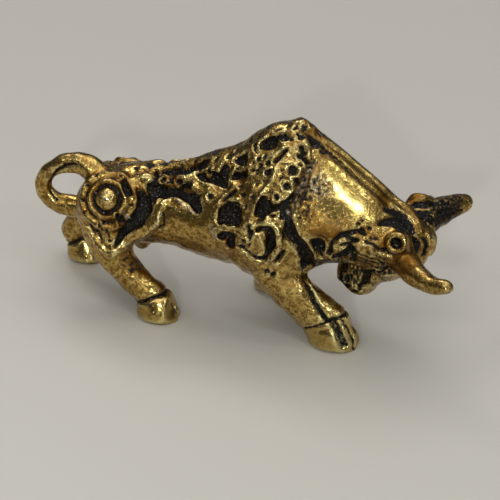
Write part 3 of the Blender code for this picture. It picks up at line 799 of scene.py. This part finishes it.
# %% Hollows and edges
HOLLOW_PASSES = 14
HOLLOW_SAG = (0.02, 0.14)
EDGE_SAG = (0.015, 0.115)
BLACK_SAG = (-0.16, -0.04)
HOLLOW_BLACK = 0.8
outward = outward_arrows()
sag = ((smoothed(carved, HOLLOW_PASSES) - carved) * outward).sum(axis=1)
wide_sag = ((smoothed(carved, 5 * HOLLOW_PASSES) - carved) * outward).sum(axis=1)
edge = window(-sag, *EDGE_SAG)
dark = recess * window(sag, *BLACK_SAG) + HOLLOW_BLACK * window(sag, *HOLLOW_SAG)
dark = np.clip(dark, 0, 1)
print("dark share:", round(float(dark.mean()), 3), "edge share:", round(float(edge.mean()), 3))

# %% [markdown]
# ## Painted shade, painted sheen and wear that no hollow explains
# Some places are darker than their shape tells. Under the face and the jaw, at the throat, in the
# knee crease, behind the neck and on the far horn this is painted shade, and a wide band beside the
# crest is a painted dark reflection. At the roots of the horns, on the ears, the hump and the crest
# it is brown tarnish, and a patch on the neck is mottled tarnish with a painted dark reflection.
# A grey sheen is painted as reflections and glints, the chest and foreleg are painted lighter as a
# highlight, and the middle of the neck is polished to a mirror. Each is a soft patch, placed with
# the same helpers, with the share of black or brown that it gives. Six numbers per point carry the
# result to the material.

# %% Darker places: patina and painted shade
GRIME_PASSES = 30
SHINY_SHEEN = (0.3, 0.6)
# Painted shade: behind the neck, at the throat and under the jaw, on the far horn, under the face
# and in the knee crease.
SHADE_BEHIND_NECK = ((6.2, 6.7, 7.4, 9.1), (8, 16, 48, 60))
# A mottled patch on the neck: darker tarnish with a painted dark reflection and a painted grey
# sheen.
NECK_MOTTLE_AND_REFLECTION = (8.2, 51)
NECK_PATCH_REACH = (1.8, 15)
NECK_PATCH_BORDER = (-1.25, -0.25)
THROAT_SHADE = ((7.4, 7.9, 10.6, 11.6), (23, 31))
THROAT_HEIGHT = (8.2, 8.8)
SHADE_UNDER_JAW = ((9.6, 10.1), (4.6, 5.0))
FAR_HORN_SHADE = ((1.6, 2.4), (16.2, 16.8, 20.0, 21.2), (-12.9, -12.4))
FACE_SHADE = ((13.3, 2.4, 7.4), 1.5, 2.3)
KNEE_LINE = ((-11.2, 5.1, 6.6), (-10.4, 5.1, 5.8), (-9.8, 3.9, 5.9))
KNEE_BORDER = (-1.1, -0.4)


def keep(name, values):
    """Stores one number per point, for the material to read."""
    layer = bull.data.attributes.new(name, "FLOAT", "POINT")
    layer.data.foreach_set("value", np.clip(values, 0, 1).astype(np.float32))


grime_and_painted_light = smoothed(dark[:, None], GRIME_PASSES)[:, 0]
groove_reflection = filled(shiny, *SHINY_SHEEN)
shade_behind_neck = patch(*SHADE_BEHIND_NECK)
neck_away = np.hypot((forward - NECK_MOTTLE_AND_REFLECTION[0]) / NECK_PATCH_REACH[0],
                     (angle - NECK_MOTTLE_AND_REFLECTION[1]) / NECK_PATCH_REACH[1])
neck_mottle_and_reflection = window(-neck_away, *NECK_PATCH_BORDER)
throat_shade = window(forward, *THROAT_SHADE[0]) * window(-angle, *THROAT_SHADE[1])
shade_under_jaw = window(forward, *SHADE_UNDER_JAW[0]) * window(points[:, 2], *SHADE_UNDER_JAW[1])
throat_shade *= np.maximum(window(points[:, 2], *THROAT_HEIGHT), shade_under_jaw)
far_horn_shade = window(points[:, 1], *FAR_HORN_SHADE[0]) * window(forward, *FAR_HORN_SHADE[1])
far_horn_shade *= window(-points[:, 2], *FAR_HORN_SHADE[2])
knee_shade = window(-along(mirrored, KNEE_LINE), *KNEE_BORDER)
# Each shade below is painted shade laid into the black; the neck patch is part tarnish, part
# painted dark reflection.
shades = ((0.42, ball(*FACE_SHADE)), (0.46, knee_shade), (0.5, shade_behind_neck), (0.62, far_horn_shade),
          (0.62, throat_shade), (0.44, neck_mottle_and_reflection))
for share, place in shades:
    dark = np.maximum(dark, share * place)
# Less black in the shoulder groove, so that its painted grey reflection shows.
dark = np.minimum(dark, 1 - 0.5 * groove_reflection)
keep("dark", dark * (1 - 0.3 * smooth_metal))
print("dark share with the shades:", round(float(dark.mean()), 3))

# %% Brown tarnish, painted shade and a painted highlight
LOW_NECK = ((7, 8), (-5, 5, 18, 38))
# Where a painted highlight on the chest and foreleg takes brown away and brightens the edge.
HIGHLIGHT_CHEST_AND_LEG = ((0.5, 2.0), (-7, -6.2), (-9.4, -8.8))
HUMP = (4.4, 2.4, (68, 78))
HORN_ROOT = ((16.6, 4.6, 11.2), 1.0, 2.2)
EAR_PLACE = ((16.3, 4.8, 12.8), 1.2, 1.9)
PAST_HUMP = (5, 6)
PAST_BOSS = (0.9, 1.2)
past_hump = window(forward, *PAST_HUMP)
worn_ring = on_haunch * window(haunch_away, *PAST_BOSS)
worn_ear = ball(*EAR_PLACE)
on_crest = band(crest_away, 0.6) * past_hump
# A wide band beside the crest, browner and less polished as a painted dark reflection.
crest_side_dark_reflection = band(beside_crest, 2.2) * past_hump
on_hump = band(forward - HUMP[0], HUMP[1]) * window(angle, *HUMP[2])
highlight_on_chest_and_leg = np.maximum(window(-forward, *HIGHLIGHT_CHEST_AND_LEG[1]),
                           window(-points[:, 2], *HIGHLIGHT_CHEST_AND_LEG[2]))
highlight_on_chest_and_leg *= window(forward, *HIGHLIGHT_CHEST_AND_LEG[0])
# Real tarnish on the haunch rings, on and close beside the crest, at the horn roots, ears and hump,
# and a browner lower neck; painted shade behind the neck and in the knee crease; a painted dark
# reflection in a wide band beside the crest; and a painted highlight that takes brown off the chest
# and foreleg.
stains_and_painted_light = ((0.4, patch(*LOW_NECK)), (0.5, shade_behind_neck), (0.3, worn_ring),
          (0.6, band(beside_crest, 0.8) * past_hump), (0.5, crest_side_dark_reflection), (0.6, knee_shade),
          (0.8, ball(*HORN_ROOT)), (0.6, worn_ear), (0.75, on_crest), (0.4, on_hump),
          (-0.35, highlight_on_chest_and_leg))
for share, place in stains_and_painted_light:
    grime_and_painted_light = grime_and_painted_light + share * place
keep("grime_and_painted_light", grime_and_painted_light)
print("mean stain:", round(float(grime_and_painted_light.mean()), 3))

# %% Painted sheen and glints, and polish
POLISHED_NECK = ((7.6, 9.1, 12, 14), (22, 40))
HOOF_POLISH = 0.65
DEEP_BLACK = (0.7, 0.9)
BROAD_SAG = (-0.05, 0.35)
# Painted glints: flank strokes where lamp highlights are painted in grey.
PAINTED_GLINTS = (
    ((-6.2, 32, 0.1), (-5.2, 25, 0.2), (-4.2, 17, 0.12)),
    ((-11.4, 17, 0.12), (-11.1, 8, 0.26), (-10.9, -5, 0.3)),
    ((-2.2, 5, 0.15), (-1.9, -3, 0.3), (-1.7, -9, 0.15)),
    ((5.3, 25, 0.3), (5.5, 14, 0.16)),
)
SPARKLE_WALL = 0.3
painted_glints = filled(strokes(PAINTED_GLINTS), SPARKLE_WALL)
in_black = window(dark, *DEEP_BLACK)
# Grey sheen painted as a reflection in the shoulder groove and on the neck patch, as glints on the
# flank strokes, and as grey glints on the flecks in the black.
keep("painted_sheen_and_flecks", np.maximum.reduce([0.6 * groove_reflection, painted_glints, 0.9 * in_black, 0.5 * neck_mottle_and_reflection]))
edge_wear = 1 - np.maximum.reduce([0.6 * worn_ring, 0.7 * worn_ear, 0.6 * on_crest])
# The edge brightening is rubbed wear, plus a painted highlight on the chest and foreleg.
keep("edge", edge * edge_wear + 0.1 * highlight_on_chest_and_leg)
keep("broad_hollow", window(wide_sag, *BROAD_SAG))
polish = patch(*POLISHED_NECK) * (1 - neck_mottle_and_reflection) * (1 - 0.8 * crest_side_dark_reflection)
keep("smooth_metal", np.maximum(HOOF_POLISH * smooth_metal, polish))
bull.data.polygons.foreach_set("use_smooth", np.ones(len(bull.data.polygons), bool))
kept = [layer.name for layer in bull.data.attributes if layer.data_type == "FLOAT"]
print("numbers kept per point:", kept)

# %% [markdown]
# ## Antique brass
# The finish is several metals in one material, laid over each other like coats: warm brass, which
# goes brighter on the edges, brown tarnish in soft patches and fine pits, a grey sheen painted as
# reflections and glints, and black patina in the hollows, with a few flecks worn through it. The
# brown and the black also carry painted shade in places, and a painted highlight takes the brown
# off the chest and foreleg. Noise roughens every border, because real wear never ends on a smooth
# line.
# Only the black is no bare metal, so the metallic value falls as the black rises.

# %% Short words for nodes
class Recipe:
    """Short words for laying out the nodes of one material."""

    def __init__(self, name):
        self.material = bpy.data.materials.new(name)
        self.material.use_nodes = True
        self.tree = self.material.node_tree
        self.shader = self.tree.nodes["Principled BSDF"]

    def node(self, kind, **settings):
        """A new node with these settings."""
        made = self.tree.nodes.new(kind)
        for name, value in settings.items():
            setattr(made, name, value)
        return made

    def join(self, source, target):
        """Links an output to an input."""
        self.tree.links.new(source, target)

    def attribute(self, name):
        """One of the numbers kept per point."""
        return self.node("ShaderNodeAttribute", attribute_name=name).outputs["Fac"]

    def noise(self, scale, detail, roughness=0.6):
        """A cloud of values from 0 to 1 in the object's own space."""
        made = self.node("ShaderNodeTexNoise")
        made.inputs["Scale"].default_value = scale
        made.inputs["Detail"].default_value = detail
        made.inputs["Roughness"].default_value = roughness
        self.join(self.place, made.inputs["Vector"])
        return made.outputs["Fac"]

    def ranged(self, source, low, high, to_low=0.0, to_high=1.0):
        """Turns low to to_low and high to to_high, straight between them and held outside."""
        made = self.node("ShaderNodeMapRange")
        made.inputs["From Min"].default_value = low
        made.inputs["From Max"].default_value = high
        made.inputs["To Min"].default_value = to_low
        made.inputs["To Max"].default_value = to_high
        self.join(source, made.inputs["Value"])
        return made.outputs["Result"]

    def combine(self, operation, first, second):
        """Two values put together by one operation, such as ADD."""
        made = self.node("ShaderNodeMath", operation=operation)
        self.join(first, made.inputs[0])
        self.join(second, made.inputs[1])
        return made.outputs[0]

    def mix(self, share, first, second):
        """The first colour where the share is 0, the second where it is 1."""
        made = self.node("ShaderNodeMix", data_type="RGBA")
        self.join(share, made.inputs["Factor"])
        for socket, value in zip((made.inputs[6], made.inputs[7]), (first, second)):
            if isinstance(value, tuple):
                socket.default_value = value
            else:
                self.join(value, socket)
        return made.outputs[2]


# %% Brass
BRASS = (0.52, 0.355, 0.105, 1)
BRIGHT_BRASS = (0.76, 0.64, 0.28, 1)
TARNISH = (0.18, 0.085, 0.015, 1)
PATINA = (0.005, 0.004, 0.003, 1)
# Grey painted as reflections and glints.
GREY_SHEEN = (0.34, 0.32, 0.26, 1)
# Each noise: scale, detail and roughness.
GRAIN = (2600.0, 4.0)
BLOTCH = (420.0, 4.0, 0.65)
PITS = (2200.0, 3.0, 0.7)
SPECKS = (3600.0, 3.0, 0.75)
FLECK = (5200.0, 2.0)
CRUST = (4200.0, 2.0)
# Each range: the source's low and high value, and what they become, or else 0 and 1.
STAYS_ROUGH = (0.0, 1.0, 1.0, 0.15)
RAGGED_BORDER = (0.35, 0.65, 0.25, -0.25)
BLACK_BORDER = (0.35, 0.62)
FLECKS = (0.63, 0.68, 0.0, 0.9)
BROAD_STAIN = (0.0, 1.0, -0.35, 0.6)
BLOTCH_STAIN = (0.40, 0.62, 0.0, 0.8)
GRIME_AND_LIGHT_STAIN = (0.05, 0.7, 0.0, 0.75)
STAIN_BORDER = (0.1, 0.9)
PIT_STAIN = (0.43, 0.51, 0.9, 0.0)
SPECK_STAIN = (0.42, 0.47, 0.75, 0.0)
SHEEN_BORDER = (0.44, 0.56)
BARE_METAL = (0.0, 1.0, 1.0, 0.0)
GRAIN_ROUGHNESS = (0.3, 0.7, 0.11, 0.21)
STAIN_ROUGHNESS = (0.0, 1.0, 0.0, 0.14)
GRAIN_RELIEF = (0.2, 0.8)
PIT_RELIEF = (0.35, 0.5, -1.0, 0.0)
CRUST_RELIEF = (0.3, 0.7, -5.0, 5.0)
BLACK_SHINE = 0.15
BUMP_STRENGTH = 0.3
BUMP_DEPTH = 0.06 * MM
recipe = Recipe("antique_brass")
recipe.place = recipe.node("ShaderNodeTexCoord").outputs["Object"]
grain = recipe.noise(*GRAIN)
blotch = recipe.noise(*BLOTCH)
pits = recipe.noise(*PITS)
specks = recipe.noise(*SPECKS)
rough_skin = recipe.ranged(recipe.attribute("smooth_metal"), *STAYS_ROUGH)

black = recipe.ranged(grain, *RAGGED_BORDER)
black = recipe.combine("ADD", recipe.attribute("dark"), black)
black = recipe.ranged(black, *BLACK_BORDER)
flecks = recipe.ranged(recipe.noise(*FLECK), *FLECKS)
black = recipe.combine("SUBTRACT", black, flecks)

broad_hollow = recipe.ranged(recipe.attribute("broad_hollow"), *BROAD_STAIN)
stain_and_painted_light = recipe.combine("ADD", recipe.ranged(blotch, *BLOTCH_STAIN), broad_hollow)
# This attribute carries real tarnish and also painted shade and a painted highlight.
grime_and_painted_light = recipe.ranged(recipe.attribute("grime_and_painted_light"), *GRIME_AND_LIGHT_STAIN)
stain_and_painted_light = recipe.combine("ADD", stain_and_painted_light, grime_and_painted_light)
stain_and_painted_light = recipe.combine("MULTIPLY", recipe.ranged(stain_and_painted_light, *STAIN_BORDER), rough_skin)
for source, reach in ((pits, PIT_STAIN), (specks, SPECK_STAIN)):
    marks = recipe.combine("MULTIPLY", recipe.ranged(source, *reach), rough_skin)
    stain_and_painted_light = recipe.combine("MAXIMUM", stain_and_painted_light, marks)

colour = recipe.mix(recipe.attribute("edge"), BRASS, BRIGHT_BRASS)
# The tarnish colour is also laid as painted shade where that attribute puts it.
colour = recipe.mix(stain_and_painted_light, colour, TARNISH)
sheen = recipe.ranged(specks, *SHEEN_BORDER)
sheen = recipe.combine("MULTIPLY", recipe.attribute("painted_sheen_and_flecks"), sheen)
# Painted sheen: the grey laid as reflections and glints.
colour = recipe.mix(sheen, colour, GREY_SHEEN)
# The black is real patina in the hollows and also painted shade under the face and jaw, at the
# throat, in the knee crease, on the far horn and behind the neck.
colour = recipe.mix(black, colour, PATINA)
recipe.join(colour, recipe.shader.inputs["Base Color"])
recipe.join(recipe.ranged(black, *BARE_METAL), recipe.shader.inputs["Metallic"])
recipe.shader.inputs["Specular IOR Level"].default_value = BLACK_SHINE
roughness = recipe.combine("ADD", recipe.ranged(grain, *GRAIN_ROUGHNESS),
                           recipe.ranged(stain_and_painted_light, *STAIN_ROUGHNESS))
recipe.join(roughness, recipe.shader.inputs["Roughness"])

relief = recipe.combine("ADD", recipe.ranged(grain, *GRAIN_RELIEF),
                        recipe.ranged(pits, *PIT_RELIEF))
relief = recipe.combine("MULTIPLY", relief, rough_skin)
crust = recipe.ranged(recipe.noise(*CRUST), *CRUST_RELIEF)
crust = recipe.combine("MULTIPLY", black, crust)
relief = recipe.combine("ADD", relief, crust)
bump = recipe.node("ShaderNodeBump")
bump.inputs["Strength"].default_value = BUMP_STRENGTH
bump.inputs["Distance"].default_value = BUMP_DEPTH
recipe.join(relief, bump.inputs["Height"])
recipe.join(bump.outputs["Normal"], recipe.shader.inputs["Normal"])
bull.data.materials.clear()
bull.data.materials.append(recipe.material)
print("nodes in the brass:", len(recipe.tree.nodes))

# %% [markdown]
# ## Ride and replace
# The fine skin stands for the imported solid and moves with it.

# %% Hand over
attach(bull, "root")
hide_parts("bull")
print("handed over:", bull.name)

# %% [markdown]
# ## A pale table and soft light
# Polished metal shows what is round it, so the light matters as much as the finish. Broad panels
# overhead and above the camera give the glow of a bright room. Small cool ones at the right, like
# a window, give the crisp streaks on the neck and the hooves, and low ones in front light the legs.
# A grey world that is brighter above than at the sides fills the rest. The table is pale and
# slightly glossy, so the metal picks up its light from below.

# %% Table
TABLE_HALF = 0.6
TABLE_COLOUR = (0.50, 0.47, 0.42, 1)
TABLE_ROUGHNESS = 0.42
table_mesh = bpy.data.meshes.new("table")
corners = [(-TABLE_HALF, -TABLE_HALF, 0), (TABLE_HALF, -TABLE_HALF, 0),
           (TABLE_HALF, TABLE_HALF, 0), (-TABLE_HALF, TABLE_HALF, 0)]
table_mesh.from_pydata(corners, [], [(0, 1, 2, 3)])
table = bpy.data.objects.new("table", table_mesh)
bpy.context.collection.objects.link(table)
paint = Recipe("pale_table")
paint.shader.inputs["Base Color"].default_value = TABLE_COLOUR
paint.shader.inputs["Roughness"].default_value = TABLE_ROUGHNESS
table_mesh.materials.append(paint.material)
print("table side, mm:", round(2 * TABLE_HALF / MM))

# %% Lights
# Each panel: azimuth and elevation in degrees, distance and size in m, power in W, colour.
PANELS = (
    ("ceiling_panel", 172, 72, 0.45, 0.40, 0.62, (1.0, 0.98, 0.96)),
    ("room_panel", -8, 58, 0.40, 0.30, 0.24, (1.0, 0.99, 0.97)),
    ("window_panel", 60, 38, 0.40, 0.13, 0.035, (0.88, 1.0, 1.08)),
    ("window_lamp", 57, 38, 0.38, 0.045, 0.12, (0.88, 1.0, 1.12)),
    ("side_lamp", 90, 46, 0.40, 0.05, 0.07, (0.88, 1.0, 1.12)),
    ("left_panel", -45, 44, 0.40, 0.08, 0.10, (0.94, 1.0, 0.98)),
    ("back_panel", -140, 48, 0.40, 0.12, 0.25, (0.97, 0.98, 1.0)),
    ("front_lamp", 8, 25, 0.40, 0.022, 0.36, (0.92, 1.0, 0.98)),
    ("low_panel", 30, 4, 0.40, 0.16, 0.09, (1.0, 0.99, 0.95)),
    ("low_lamp", 50, 21, 0.40, 0.04, 0.05, (0.92, 1.0, 0.98)),
)
HORIZON = 0.4
CEILING = 0.95
WALL_LIGHT = 0.06
CEILING_LIGHT = 0.55
ROOM_COLOUR = (1.0, 0.985, 0.96, 1)
for name, azimuth, elevation, distance, size, power, colour in PANELS:
    light = bpy.data.lights.new(name, "AREA")
    light.shape = "DISK"
    light.size = size
    light.energy = power
    light.color = colour
    panel = bpy.data.objects.new(name, light)
    out = direction(math.radians(azimuth), math.radians(elevation))
    panel.location = CAMERA_TARGET + out * distance
    panel.rotation_euler = out.to_track_quat("Z", "Y").to_euler()
    bpy.context.collection.objects.link(panel)
world = bpy.data.worlds.new("room")
world.use_nodes = True
sky = world.node_tree.nodes
split = sky.new("ShaderNodeSeparateXYZ")
lift = sky.new("ShaderNodeMapRange")
lift.inputs["From Min"].default_value = HORIZON
lift.inputs["From Max"].default_value = CEILING
lift.inputs["To Min"].default_value = WALL_LIGHT
lift.inputs["To Max"].default_value = CEILING_LIGHT
joined = world.node_tree.links
joined.new(sky.new("ShaderNodeTexCoord").outputs["Generated"], split.inputs[0])
joined.new(split.outputs["Z"], lift.inputs["Value"])
joined.new(lift.outputs["Result"], sky["Background"].inputs["Strength"])
sky["Background"].inputs["Color"].default_value = ROOM_COLOUR
bpy.context.scene.world = world
bpy.context.scene.view_settings.view_transform = "Standard"
print("lights:", len(PANELS))
